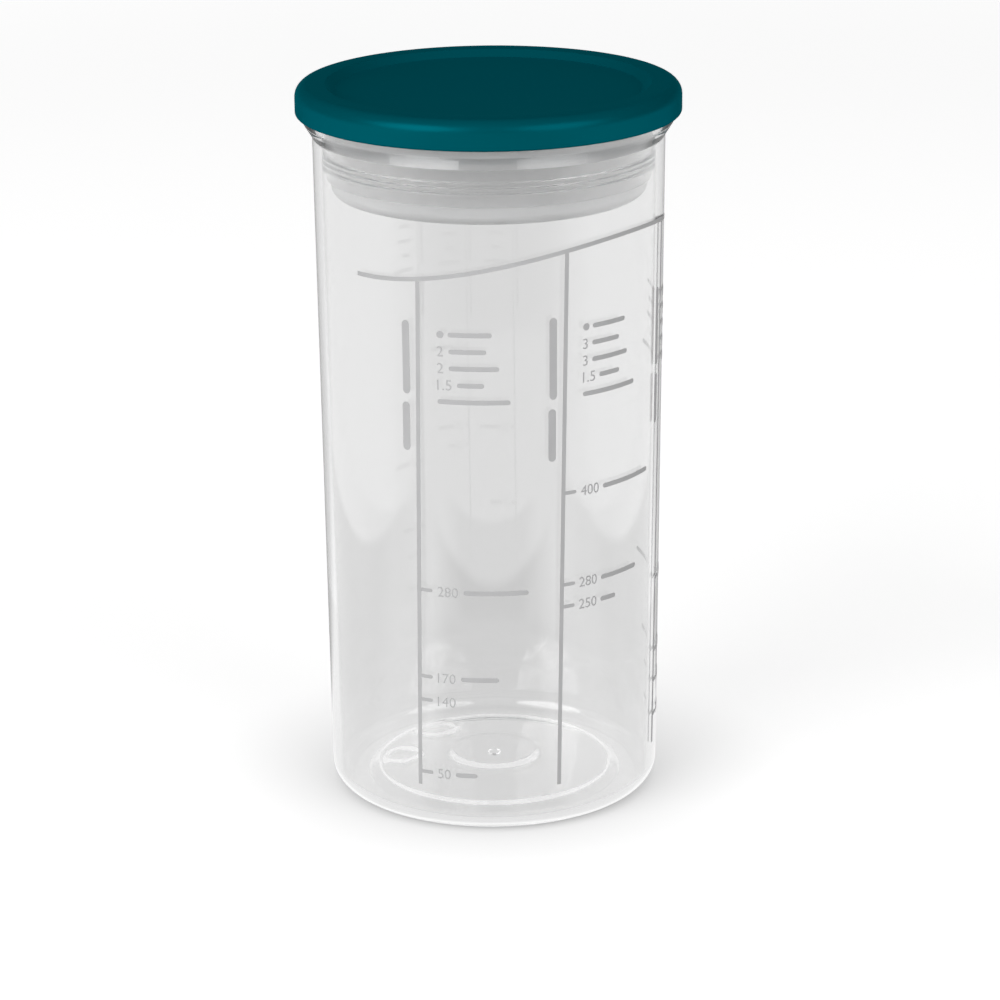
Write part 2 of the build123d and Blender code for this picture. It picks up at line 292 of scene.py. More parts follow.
def turned_tree():
    """Turns an outline, drawn as points in the XZ plane, into a closed body about the upright axis."""
    tree, given, result = new_tree(
        "turned_outline",
        "GeometryNodeTree",
        {
            "Outline": ("NodeSocketGeometry", None),
            "Segments": ("NodeSocketInt", 64),
            "Sharp Angle": ("NodeSocketFloat", radians(30)),
            "Merge Gap": ("NodeSocketFloat", merge_gap),
            "Finish": ("NodeSocketMaterial", None),
        },
        {"Body": "NodeSocketGeometry"},
    )
    count = place(tree, "GeometryNodeAttributeDomainSize", {"Geometry": given["Outline"]})
    columns = maths(tree, "ADD", given["Segments"], 1)
    grid = place(
        tree, "GeometryNodeMeshGrid", {"Vertices X": count.outputs["Point Count"], "Vertices Y": columns}
    )
    index = place(tree, "GeometryNodeInputIndex").outputs[0]
    row = maths(tree, "FLOOR", maths(tree, "DIVIDE", maths(tree, "ADD", index, 0.5), columns))
    step = maths(tree, "SUBTRACT", index, maths(tree, "MULTIPLY", row, columns))
    swing = maths(tree, "DIVIDE", maths(tree, "MULTIPLY", step, 2 * pi), given["Segments"])
    position = place(tree, "GeometryNodeInputPosition").outputs[0]
    point = place(tree, "GeometryNodeSampleIndex", data_type="FLOAT_VECTOR")
    tree.links.new(given["Outline"], point.inputs["Geometry"])
    tree.links.new(position, point.inputs["Value"])
    tree.links.new(row, point.inputs["Index"])
    swung = place(
        tree, "ShaderNodeVectorRotate", {"Vector": point.outputs[0], "Angle": swing}, rotation_type="Z_AXIS"
    )
    body = place(
        tree, "GeometryNodeSetPosition", {"Geometry": grid.outputs["Mesh"], "Position": swung.outputs[0]}
    )
    joined = place(
        tree, "GeometryNodeMergeByDistance", {"Geometry": body.outputs[0], "Distance": given["Merge Gap"]}
    )
    smooth = place(tree, "GeometryNodeSetShadeSmooth", {"Geometry": joined.outputs[0]})
    bend = place(tree, "GeometryNodeInputMeshEdgeAngle").outputs["Unsigned Angle"]
    is_sharp = place(
        tree, "FunctionNodeCompare", {0: bend, 1: given["Sharp Angle"]}, operation="GREATER_THAN"
    )
    sharp = place(
        tree,
        "GeometryNodeSetShadeSmooth",
        {"Geometry": smooth.outputs[0], "Selection": is_sharp.outputs[0], "Shade Smooth": False},
        domain="EDGE",
    )
    end_tree(tree, sharp.outputs[0], given["Finish"], result["Body"])
    return tree


wall_inputs = {
    "Foot Radius": ("NodeSocketFloat", 0.04),
    "Taper": ("NodeSocketFloat", 0.0),
    "Unrolled Radius": ("NodeSocketFloat", 0.04),
    "Lift": ("NodeSocketFloat", 0.0),
    "Ink Thickness": ("NodeSocketFloat", 0.1 * mm),
    "Merge Gap": ("NodeSocketFloat", merge_gap),
    "Finish": ("NodeSocketMaterial", None),
}


def wall_print_tree():
    """Gives flat print its thickness and lays it round the wall: X goes round and Y goes up."""
    tree, given, result = new_tree(
        "print_on_wall",
        "GeometryNodeTree",
        {"Flat Print": ("NodeSocketGeometry", None), **wall_inputs},
        {"Print": "NodeSocketGeometry"},
    )
    raised = place(
        tree,
        "GeometryNodeExtrudeMesh",
        {"Mesh": given["Flat Print"], "Offset Scale": given["Ink Thickness"], "Individual": False},
        mode="FACES",
    )
    under = place(tree, "GeometryNodeFlipFaces", {"Mesh": given["Flat Print"]})
    both = place(tree, "GeometryNodeJoinGeometry")
    tree.links.new(under.outputs[0], both.inputs[0])
    tree.links.new(raised.outputs["Mesh"], both.inputs[0])
    closed = place(
        tree, "GeometryNodeMergeByDistance", {"Geometry": both.outputs[0], "Distance": given["Merge Gap"]}
    )
    position = place(tree, "GeometryNodeInputPosition").outputs[0]
    flat = place(tree, "ShaderNodeSeparateXYZ", {0: position}).outputs
    lean = maths(tree, "MULTIPLY", flat["Y"], maths(tree, "TANGENT", given["Taper"]))
    wall = maths(tree, "ADD", given["Foot Radius"], lean)
    radius = maths(tree, "ADD", wall, maths(tree, "ADD", flat["Z"], given["Lift"]))
    swing = maths(tree, "ADD", maths(tree, "DIVIDE", flat["X"], given["Unrolled Radius"]), front_angle)
    wrapped = place(
        tree,
        "ShaderNodeCombineXYZ",
        {
            "X": maths(tree, "MULTIPLY", radius, maths(tree, "COSINE", swing)),
            "Y": maths(tree, "MULTIPLY", radius, maths(tree, "SINE", swing)),
            "Z": flat["Y"],
        },
    )
    laid = place(
        tree, "GeometryNodeSetPosition", {"Geometry": closed.outputs[0], "Position": wrapped.outputs[0]}
    )
    end_tree(tree, laid.outputs[0], given["Finish"], result["Print"])
    return tree


def on_wall(tree, given, flat_print, result):
    """Sends flat print through the tree that lays it round the wall, with the same named inputs."""
    laid = place(tree, "GeometryNodeGroup", node_tree=group_of("print_on_wall", wall_print_tree))
    tree.links.new(flat_print, laid.inputs["Flat Print"])
    for name in wall_inputs:
        tree.links.new(given[name], laid.inputs[name])
    end_tree(tree, laid.outputs[0], given["Finish"], result["Print"])


round_share = 0.499           # of a tick's width is its end's rounding, a little under half
round_points = 5              # points on each rounded corner of a tick


def tick_tree():
    """Prints a tick, square at its left end and round at its right one, at each point of a mesh."""
    tree, given, result = new_tree(
        "ticks_on_wall",
        "GeometryNodeTree",
        {
            "Tick Starts": ("NodeSocketGeometry", None),
            "Tick Length": ("NodeSocketFloat", 3 * mm),
            "Tick Width": ("NodeSocketFloat", 1 * mm),
            **wall_inputs,
        },
        {"Print": "NodeSocketGeometry"},
    )
    outline = place(
        tree,
        "GeometryNodeCurvePrimitiveQuadrilateral",
        {"Width": given["Tick Length"], "Height": given["Tick Width"]},
    )
    position = place(tree, "GeometryNodeInputPosition").outputs[0]
    across = place(tree, "ShaderNodeSeparateXYZ", {0: position}).outputs["X"]
    right_end = maths(tree, "GREATER_THAN", across)
    half_width = maths(tree, "MULTIPLY", given["Tick Width"], round_share)
    rounded_end = place(
        tree,
        "GeometryNodeFilletCurve",
        {"Curve": outline.outputs[0], "Radius": maths(tree, "MULTIPLY", right_end, half_width)},
    )
    select(rounded_end, "mode", "Mode", "POLY", "Poly")
    rounded_end.inputs["Count"].default_value = round_points
    tick = place(tree, "GeometryNodeFillCurve", {"Curve": rounded_end.outputs[0]})
    half_length = maths(tree, "DIVIDE", given["Tick Length"], 2)
    shift = place(tree, "ShaderNodeCombineXYZ", {"X": half_length})
    from_start = place(
        tree, "GeometryNodeTransform", {"Geometry": tick.outputs[0], "Translation": shift.outputs[0]}
    )
    starts = place(tree, "GeometryNodeMeshToPoints", {"Mesh": given["Tick Starts"]})
    row = place(
        tree,
        "GeometryNodeInstanceOnPoints",
        {"Points": starts.outputs[0], "Instance": from_start.outputs[0]},
    )
    real = place(tree, "GeometryNodeRealizeInstances", {"Geometry": row.outputs[0]})
    on_wall(tree, given, real.outputs[0], result)
    return tree


def select(node, option, socket, value, label):
    """Sets a node's choice, which is an option of the node or, in later versions, a menu socket."""
    if hasattr(node, option):
        setattr(node, option, value)
    else:
        node.inputs[socket].default_value = label


def curve_tree():
    """Prints the filling curve: half a cosine wave that climbs from its lowest point to its crest."""
    tree, given, result = new_tree(
        "curve_on_wall",
        "GeometryNodeTree",
        {
            "Start": ("NodeSocketFloat", 0.0),
            "End": ("NodeSocketFloat", 0.1),
            "Low Place": ("NodeSocketFloat", 0.0),
            "Low Height": ("NodeSocketFloat", 0.1),
            "Run": ("NodeSocketFloat", 0.1),
            "Rise": ("NodeSocketFloat", 0.01),
            "Line Width": ("NodeSocketFloat", 1 * mm),
            "Points": ("NodeSocketInt", 140),
            **wall_inputs,
        },
        {"Print": "NodeSocketGeometry"},
    )
    reach = maths(tree, "SUBTRACT", given["End"], given["Start"])
    middle = maths(tree, "DIVIDE", maths(tree, "ADD", given["End"], given["Start"]), 2)
    ribbon = place(
        tree,
        "GeometryNodeMeshGrid",
        {"Size X": reach, "Size Y": given["Line Width"], "Vertices X": given["Points"], "Vertices Y": 2},
    )
    position = place(tree, "GeometryNodeInputPosition").outputs[0]
    flat = place(tree, "ShaderNodeSeparateXYZ", {0: position}).outputs
    along = maths(tree, "ADD", flat["X"], middle)
    from_low = maths(tree, "SUBTRACT", along, given["Low Place"])
    phase = maths(tree, "DIVIDE", maths(tree, "MULTIPLY", from_low, pi), given["Run"])
    lift = maths(tree, "SUBTRACT", 1.0, maths(tree, "COSINE", phase))
    climb = maths(tree, "DIVIDE", maths(tree, "MULTIPLY", lift, given["Rise"]), 2)
    height = maths(tree, "ADD", flat["Y"], maths(tree, "ADD", given["Low Height"], climb))
    drawn = place(tree, "ShaderNodeCombineXYZ", {"X": along, "Y": height})
    curve = place(
        tree, "GeometryNodeSetPosition", {"Geometry": ribbon.outputs["Mesh"], "Position": drawn.outputs[0]}
    )
    on_wall(tree, given, curve.outputs[0], result)
    return tree


def input_names(tree):
    return {
        item.name: item.identifier
        for item in tree.interface.items_tree
        if item.item_type == "SOCKET" and item.in_out == "INPUT"
    }


def made_by(tree, name, start_mesh, values):
    """The plain mesh that a node tree makes from a starting mesh."""
    draft = bpy.data.objects.new(name + "_draft", start_mesh)
    bpy.context.scene.collection.objects.link(draft)
    modifier = draft.modifiers.new(tree.name, "NODES")
    modifier.node_group = tree
    identifiers = input_names(tree)
    for input_name, value in values.items():
        modifier[identifiers[input_name]] = value
    depsgraph = bpy.context.evaluated_depsgraph_get()
    mesh = bpy.data.meshes.new_from_object(draft.evaluated_get(depsgraph), depsgraph=depsgraph)
    draft.modifiers.clear()
    bpy.data.objects.remove(draft)
    bpy.data.meshes.remove(start_mesh)
    mesh.name = name
    if not mesh.polygons:
        raise RuntimeError(f"{name} came out empty")
    return mesh


def add_to(mesh, extra, gap=0.0):
    """Joins a second mesh to the first, merging points within a gap, and removes the second."""
    whole = bmesh.new()
    whole.from_mesh(mesh)
    whole.from_mesh(extra)
    if gap:
        bmesh.ops.remove_doubles(whole, verts=whole.verts, dist=gap)
    open_edges = sum(not edge.is_manifold for edge in whole.edges)
    whole.to_mesh(mesh)
    whole.free()
    bpy.data.meshes.remove(extra)
    if open_edges:
        raise RuntimeError(f"{mesh.name} has {open_edges} open edges")


def outward(mesh):
    """Points a closed mesh's faces outwards."""
    shape = bmesh.new()
    shape.from_mesh(mesh)
    bmesh.ops.recalc_face_normals(shape, faces=shape.faces)
    shape.to_mesh(mesh)
    shape.free()


def finished_piece(name, mesh, body, slot, *nodes):
    """Shows a finished mesh as a piece that rides on a body and stands for CAD nodes."""
    outward(mesh)
    piece = bpy.data.objects.new(name, mesh)
    bpy.context.scene.collection.objects.link(piece)
    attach(piece, body)
    if nodes:
        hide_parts(*nodes)
    return piece


# Outlines

def rounded(corners):
    """The points of an outline, from corners of (radius, height, rounding). Its ends stay sharp."""
    points = [Vector(corners[0][:2])]
    for before, corner, after in zip(corners, corners[1:], corners[2:]):
        here = Vector(corner[:2])
        rounding = corner[2]
        if not rounding:
            points.append(here)
            continue
        back = (Vector(before[:2]) - here).normalized()
        onward = (Vector(after[:2]) - here).normalized()
        opening = back.angle(onward)
        centre = here + (back + onward).normalized() * rounding / sin(opening / 2)
        first_arm = here + back * rounding / tan(opening / 2) - centre
        last_arm = here + onward * rounding / tan(opening / 2) - centre
        swing = pi - opening
        steps = max(2, ceil(swing / arc_step))
        for step in range(steps + 1):
            part = swing * step / steps
            arm = (first_arm * sin(swing - part) + last_arm * sin(part)) / sin(swing)
            points.append(centre + arm)
    points.append(Vector(corners[-1][:2]))
    return points


def turned_mesh(name, points, finish):
    """The mesh of an outline that is turned about the upright axis."""
    outline = bpy.data.meshes.new(name + "_outline")
    outline.from_pydata([(radius, 0, height) for radius, height in points], [], [])
    values = {"Segments": bpy.context.scene.shaker_cup.segments, "Finish": finish}
    return made_by(group_of("turned_outline", turned_tree), name, outline, values)


def outer_radius(height):
    cup = bpy.context.scene.shaker_cup
    return cup.foot_radius + height * tan(cup.taper)


def inner_radius(height):
    return outer_radius(height) - bpy.context.scene.shaker_cup.wall


class FloorShape:
    """Sizes of the cup's raised, gently domed floor that follow from the named ones."""

    def __init__(self, cup):
        slope = sqrt(cup.step_run**2 + cup.step_rise**2)
        underside_shift = cup.floor * (slope - cup.step_run) / cup.step_rise
        self.step_radius = cup.foot_radius - cup.foot_round - cup.foot_width
        self.ring_radius = self.step_radius - cup.step_run
        self.under_edge_radius = self.ring_radius - underside_shift
        self.foot_inner_radius = self.step_radius - underside_shift
        self.face_radius = self.ring_radius - cup.step_edge_round
        self.ring_top = cup.floor + cup.step_rise
        self.dome_rise = cup.dome_rise
        self.dome_sphere = (self.ring_radius**2 + cup.dome_rise**2) / (2 * cup.dome_rise)

    def dome(self, radius):
        """Height of the floor's upper face over its ring edge."""
        return self.dome_rise - self.dome_sphere + sqrt(self.dome_sphere**2 - radius**2)


dome_steps = 16
pip_round_share = 0.3         # a pip's rounding over its radius


def underside(cup, shape):
    """Corners of the floor's underside, from its moulding pip out to the edge of the raised middle."""
    pip_bottom = cup.step_rise + cup.dome_rise - cup.pip_length
    corners = [(0, pip_bottom, 0), (cup.pip_radius, pip_bottom, cup.pip_radius * pip_round_share)]
    reach = shape.under_edge_radius - cup.pip_radius
    for step in range(dome_steps + 1):
        radius = cup.pip_radius + reach * step / dome_steps
        corners.append((radius, cup.step_rise + shape.dome(radius), 0))
    return corners


def cup_outline(cup, shape):
    """The cup's outline, from the pip under its floor, round the foot and rim, to the floor's ring edge."""
    rim = cup_high.z
    collar = cup_high.x
    collar_low = rim - cup.collar_depth
    flare_low = collar_low - cup.flare_rise
    return rounded(
        underside(cup, shape)
        + [
            (shape.foot_inner_radius, 0, cup.step_round),
            (cup.foot_radius, 0, cup.foot_round),
            (outer_radius(flare_low), flare_low, cup.flare_blend),
            (collar, collar_low, cup.collar_round),
            (collar, rim, cup.collar_round),
            (inner_radius(rim), rim, cup.mouth_round),
            (inner_radius(cup.floor), cup.floor, cup.foot_round - cup.wall),
            (shape.step_radius, cup.floor, cup.step_round),
            (shape.ring_radius, shape.ring_top, cup.step_edge_round),
            (shape.face_radius, shape.ring_top + shape.dome(shape.face_radius), 0),
        ]
    )


def circle(radius, count, centre=(0, 0)):
    return [
        (centre[0] + radius * cos(2 * pi * step / count), centre[1] + radius * sin(2 * pi * step / count))
        for step in range(count)
    ]


mark_rings = ((5.2 * mm, radians(-140.0)), (4.7 * mm, radians(-91.5)))
mark_edge = 0.12 * mm         # width of the slope on each side of a moulding mark's ring
mark_corners = 96             # points on each circle of a moulding mark
floor_spacing = 1.6 * mm      # between the circles of points on the floor
fewest_points = 8             # on such a circle
floor_gap = 0.01 * mm         # points of the floor and the wall within this become one


def floor_mesh(name, cup, shape):
    """The floor's upper face, with its gate pad and the raised rings of the moulding marks."""
    outer = shape.face_radius
    pad_edge = cup.gate_radius + cup.gate_pad
    place_radius = shape.ring_radius - cup.mark_inset
    marks = []
    for ring_radius, azimuth in mark_rings:
        swing = front_angle + azimuth
        centre = Vector((place_radius * cos(swing), place_radius * sin(swing)))
        marks.append((centre, ring_radius - cup.mark_line, ring_radius))

    def lift(point):
        """Height of the gate pad and of the marks' rings at a point of the floor."""
        raised = cup.gate_pad if point.length < cup.gate_radius + merge_gap else 0
        for centre, inner, outside in marks:
            away = (point - centre).length
            if inner + mark_edge - merge_gap < away < outside - mark_edge + merge_gap:
                raised = cup.mark_height
        return raised

    points = []
    edges = []

    def add_circle(radius, count, centre=(0, 0)):
        start = len(points)
        ring = [Vector(point) for point in circle(radius, count, centre)]
        points.extend(ring)
        edges.extend((start + step, start + (step + 1) % count) for step in range(count))

    segments = cup.segments
    add_circle(outer, segments)
    add_circle(pad_edge, segments // 2)
    add_circle(cup.gate_radius, segments // 2)
    for centre, inner, outside in marks:
        for radius in (inner, inner + mark_edge, outside - mark_edge, outside):
            add_circle(radius, mark_corners, centre)
    points.append(Vector((0, 0)))
    for ring in range(1, int(outer / floor_spacing)):
        radius = ring * floor_spacing
        if radius > outer - floor_spacing / 2:
            break
        for point in circle(radius, max(fewest_points, int(2 * pi * radius / floor_spacing))):
            point = Vector(point)
            near_mark = any(
                inner - floor_spacing / 2 < (point - centre).length < outside + floor_spacing / 2
                for centre, inner, outside in marks
            )
            near_gate = abs(point.length - cup.gate_radius) < floor_spacing / 2
            if not near_mark and not near_gate:
                points.append(point)
    flat_points, _, triangles, _, _, _ = delaunay_2d_cdt(points, edges, [], 0, merge_gap)
    solid_points = []
    for point in flat_points:
        if point.length > outer + merge_gap:
            raise RuntimeError("a moulding mark reaches over the edge of the floor")
        solid_points.append((point.x, point.y, shape.ring_top + shape.dome(point.length) + lift(point)))
    mesh = bpy.data.meshes.new(name)
    mesh.from_pydata(solid_points, [], triangles)
    return mesh


def cap_outline(lid):
    """The cap's outline, from the middle of its recessed top, round the skirt, to its underside."""
    top = cap_high.z
    bottom = cap_low.z
    radius = cap_high.x
    bore = radius - lid.cap_wall
    under = top - lid.cap_plate
    recess_floor = top - lid.recess_depth
    recess_radius = radius - lid.recess_rim
    spigot = plug_bore(lid) - lid.fit
    snap = under - lid.snap_drop
    under_recess = recess_floor - lid.cap_plate
    return rounded([
        (0, recess_floor, 0),
        (recess_radius - lid.recess_slope, recess_floor, lid.recess_floor_round),
        (recess_radius, top, lid.recess_edge_round),
        (radius, top, lid.cap_top_round),
        (radius, bottom, lid.cap_edge_round),
        (bore, bottom, lid.cap_edge_round / 2),
        (bore, under, lid.cap_inner_round),
        (spigot, under, 0),
        (spigot, snap + lid.snap_root / 2, 0),
        (spigot + lid.snap_height, snap + lid.snap_crest / 2, 0),
        (spigot + lid.snap_height, snap - lid.snap_crest / 2, 0),
        (spigot, snap - lid.snap_root / 2, 0),
        (spigot, under - lid.cap_plate - lid.spigot_length, 0),
        (spigot - lid.spigot_wall, under - lid.cap_plate - lid.spigot_length, 0),
        (spigot - lid.spigot_wall, under_recess, lid.cap_edge_round),
        (0, under_recess, 0),
    ])


def neck_radius(lid):
    return inner_radius(seal_low.z - lid.fit) - lid.plug_gap


def plug_bore(lid):
    return neck_radius(lid) - lid.plug_wall


def seat_radius(lid):
    return neck_radius(lid) - lid.nose_inset - lid.seal_ledge


def plug_outline(lid):
    """The plug's outline, from the middle of its underside, round the flange, to the bottom inside."""
    top = plug_high.z
    bottom = plug_low.z
    flange_radius = plug_high.x
    seal_bottom = seal_low.z - lid.fit
    seal_top = seal_high.z + lid.fit
    neck = neck_radius(lid)
    nose = neck - lid.nose_inset
    seat = seat_radius(lid)
    bore = plug_bore(lid)
    nose_bore = seat - lid.plug_wall
    notch = lid.snap_height + lid.snap_room
    notch_root = lid.snap_root / 2 + lid.snap_room
    notch_crest = lid.snap_crest / 2 + lid.snap_room
    snap = top - lid.snap_drop
    return rounded([
        (0, bottom, 0),
        (nose - lid.nose_draft, bottom, lid.nose_round),
        (nose, seal_bottom, 0),
        (seat, seal_bottom, 0),
        (seat, seal_top, 0),
        (neck, seal_top, 0),
        (neck, top - lid.flange, lid.plug_edge_round),
        (flange_radius, top - lid.flange, lid.plug_edge_round),
        (flange_radius, top, lid.plug_edge_round),
        (bore, top, 0),
        (bore, snap + notch_root, 0),
        (bore + notch, snap + notch_crest, 0),
        (bore + notch, snap - notch_crest, 0),
        (bore, snap - notch_root, 0),
        (bore, seal_top + bore - nose_bore, lid.plug_wall / 2),
        (nose_bore, seal_top, lid.plug_wall / 2),
        (nose_bore, bottom + lid.plug_wall, lid.nose_round / 2),
        (0, bottom + lid.plug_wall, 0),
    ])


def seal_outline(lid):
    """The seal's outline, a closed loop: the sleeve's bore, then up its outside over the lips."""
    inner = seat_radius(lid) + lid.fit
    outer = seat_radius(lid) + lid.seal_wall
    low = seal_low.z
    high = seal_high.z
    tip = seal_high.x
    corners = [(inner, low, 0), (outer, low, lid.lip_round)]
    for lip in reversed(range(lid.lip_count)):
        middle = high + lid.fit - lid.lip_drop - lip * lid.lip_pitch
        corners += [
            (outer, middle - lid.lip_root / 2, lid.lip_round),
            (tip, middle - lid.lip_tip / 2, lid.lip_round),
            (tip, middle + lid.lip_tip / 2, lid.lip_round),
            (outer, middle + lid.lip_root / 2, lid.lip_round),
        ]
    corners += [(outer, high, lid.lip_round), (inner, high, 0), (inner, low, 0)]
    return rounded(corners)


# Finishes

noise_low, noise_high = 0.35, 0.65    # where most of a noise's values lie


def moulding_group():
    """The skin of moulded plastic: a faint unevenness of its gloss, and a height for its bump."""
    tree, given, result = new_tree(
        "moulded_skin",
        "ShaderNodeTree",
        {
            "Grain Size": ("NodeSocketFloat", 0.5 * mm),
            "Flow Size": ("NodeSocketFloat", 30 * mm),
            "Gloss Low": ("NodeSocketFloat", 0.05),
            "Gloss High": ("NodeSocketFloat", 0.1),
            "Flow Share": ("NodeSocketFloat", 0.5),
        },
        {"Roughness": "NodeSocketFloat", "Height": "NodeSocketFloat", "Cloud": "NodeSocketFloat"},
    )
    on_piece = place(tree, "ShaderNodeTexCoord").outputs["Object"]
    fine_scale = maths(tree, "DIVIDE", 1.0, given["Grain Size"])
    flow_scale = maths(tree, "DIVIDE", 1.0, given["Flow Size"])
    fine = place(tree, "ShaderNodeTexNoise", {"Vector": on_piece, "Scale": fine_scale, "Detail": 3.0})
    flow = place(tree, "ShaderNodeTexNoise", {"Vector": on_piece, "Scale": flow_scale, "Detail": 2.0})
    gloss = place(
        tree,
        "ShaderNodeMapRange",
        {
            "Value": flow.outputs["Fac"],
            "From Min": noise_low,
            "From Max": noise_high,
            "To Min": given["Gloss Low"],
            "To Max": given["Gloss High"],
        },
    )
    height = place(
        tree,
        "ShaderNodeMix",
        {0: given["Flow Share"], 2: fine.outputs["Fac"], 3: flow.outputs["Fac"]},
        data_type="FLOAT",
    )
    tree.links.new(gloss.outputs[0], result["Roughness"])
    tree.links.new(height.outputs[0], result["Height"])
    tree.links.new(flow.outputs["Fac"], result["Cloud"])
    return tree


def new_material(name):
    """An empty material, its node tree and its output node."""
    material = bpy.data.materials.new(name)
    material.use_nodes = True
    material.node_tree.nodes.clear()
    return material, material.node_tree, place(material.node_tree, "ShaderNodeOutputMaterial")


def skin(tree, grain, flow, roughness, flow_share, strength, depth):
    """The moulded skin of a material: its outputs and the normal that its bump gives."""
    group = place(tree, "ShaderNodeGroup", node_tree=group_of("moulded_skin", moulding_group))
    values = {
        "Grain Size": grain,
        "Flow Size": flow,
        "Gloss Low": roughness[0],
        "Gloss High": roughness[1],
        "Flow Share": flow_share,
    }
    for name, value in values.items():
        group.inputs[name].default_value = value
    bump = place(
        tree,
        "ShaderNodeBump",
        {"Strength": strength, "Distance": depth, "Height": group.outputs["Height"]},
    )
    return group.outputs, bump.outputs["Normal"]


def shaded(tint, factor):
    """A colour made darker, or lighter by a factor over 1."""
    return (*[part * factor for part in tint[:3]], 1.0)


def mottled(tree, mask, first, second):
    """A colour that drifts between two as a mask says."""
    return place(tree, "ShaderNodeMix", {0: mask, 6: first, 7: second}, data_type="RGBA").outputs[2]


most_inner_mirrorings = 2.5   # light that is mirrored more often inside clear plastic leaves it straight


def clear_finish(name, tint, cloudiness, ior, roughness, waviness, passed, clearness=1.0):
    """See-through plastic that lets lamps through, with a faint cloudiness and a moulded waviness."""
    material, tree, output = new_material(name)
    moulded, normal = skin(
        tree,
        grain=0.6 * mm,
        flow=18 * mm,
        roughness=roughness,
        flow_share=0.9,
        strength=1.0,
        depth=waviness,
    )
    plastic = place(
        tree,
        "ShaderNodeBsdfPrincipled",
        {
            "Base Color": mottled(tree, moulded["Cloud"], shaded(tint, 1 - cloudiness), shaded(tint, 1)),
            "Roughness": moulded["Roughness"],
            "Normal": normal,
            "IOR": ior,
            "Transmission Weight": clearness,
        },
    )
    lamp_light = place(tree, "ShaderNodeBsdfTransparent", {"Color": (passed, passed, passed, 1)})
    ray = place(tree, "ShaderNodeLightPath").outputs
    for_lamps = maths(tree, "MAXIMUM", ray["Is Shadow Ray"], ray["Is Diffuse Ray"])
    trapped = maths(tree, "GREATER_THAN", ray["Glossy Depth"], most_inner_mirrorings)
    way_out = place(tree, "ShaderNodeBsdfTransparent")
    let_out = place(
        tree, "ShaderNodeMixShader", {0: trapped, 1: plastic.outputs[0], 2: way_out.outputs[0]}
    )
    mixed = place(
        tree, "ShaderNodeMixShader", {0: for_lamps, 1: let_out.outputs[0], 2: lamp_light.outputs[0]}
    )
    tree.links.new(mixed.outputs[0], output.inputs["Surface"])
    return material


def cup_finish():
    looks = bpy.context.scene.shaker_finishes
    return clear_finish(
        "clear_cup_plastic",
        tint=looks.clear,
        cloudiness=0.015,
        ior=looks.clear_ior,
        roughness=(0.0, 0.03),
        waviness=0.005 * mm,
        passed=0.82,
    )


def plug_finish():
    looks = bpy.context.scene.shaker_finishes
    return clear_finish(
        "milky_plug_plastic",
        tint=looks.milky,
        cloudiness=0.02,
        ior=looks.clear_ior,
        roughness=(0.4, 0.46),
        waviness=0.006 * mm,
        passed=0.9,
        clearness=0.7,
    )


def seal_finish():
    looks = bpy.context.scene.shaker_finishes
    return clear_finish(
        "soft_seal_rubber",
        tint=looks.rubber,
        cloudiness=0.03,
        ior=looks.seal_ior,
        roughness=(0.15, 0.2),
        waviness=0.002 * mm,
        passed=0.88,
        clearness=0.9,
    )


def cap_finish():
    """Satin teal plastic, with a fine grain and a faint change of tone over its face."""
    material, tree, output = new_material("satin_teal_plastic")
    moulded, normal = skin(
        tree,
        grain=0.35 * mm,
        flow=45 * mm,
        roughness=(0.28, 0.36),
        flow_share=0.25,
        strength=0.2,
        depth=0.04 * mm,
    )
    teal = bpy.context.scene.shaker_finishes.teal
    plastic = place(
        tree,
        "ShaderNodeBsdfPrincipled",
        {
            "Base Color": mottled(tree, moulded["Cloud"], shaded(teal, 0.94), shaded(teal, 1.06)),
            "Roughness": moulded["Roughness"],
            "Normal": normal,
            "Metallic": 0.26,
            "IOR": 1.5,
            "Specular IOR Level": 0.0,
            "Specular Tint": (0.0, 0.75, 0.85, 1.0),
        },
    )
    tree.links.new(plastic.outputs[0], output.inputs["Surface"])
    return material


def ink_finish():
    """Matt grey screen-printed ink, slightly uneven where it was laid thinner."""
    if "screen_printed_ink" in bpy.data.materials:
        return bpy.data.materials["screen_printed_ink"]
    material, tree, output = new_material("screen_printed_ink")
    moulded, normal = skin(
        tree,
        grain=0.25 * mm,
        flow=6 * mm,
        roughness=(0.55, 0.65),
        flow_share=0.3,
        strength=0.3,
        depth=0.02 * mm,
    )
    ink = bpy.context.scene.shaker_finishes.ink
    plastic = place(
        tree,
        "ShaderNodeBsdfPrincipled",
        {
            "Base Color": mottled(tree, moulded["Cloud"], shaded(ink, 0.93), shaded(ink, 1.07)),
            "Roughness": moulded["Roughness"],
            "Normal": normal,
            "Specular IOR Level": 0.1,
        },
    )
    tree.links.new(plastic.outputs[0], output.inputs["Surface"])
    return material


# The print

bar_step = 1.5 * mm           # longest straight length in a bar
bar_end_steps = 6             # sides round each end of a bar
line_steps = 12               # straight lengths in an upright line


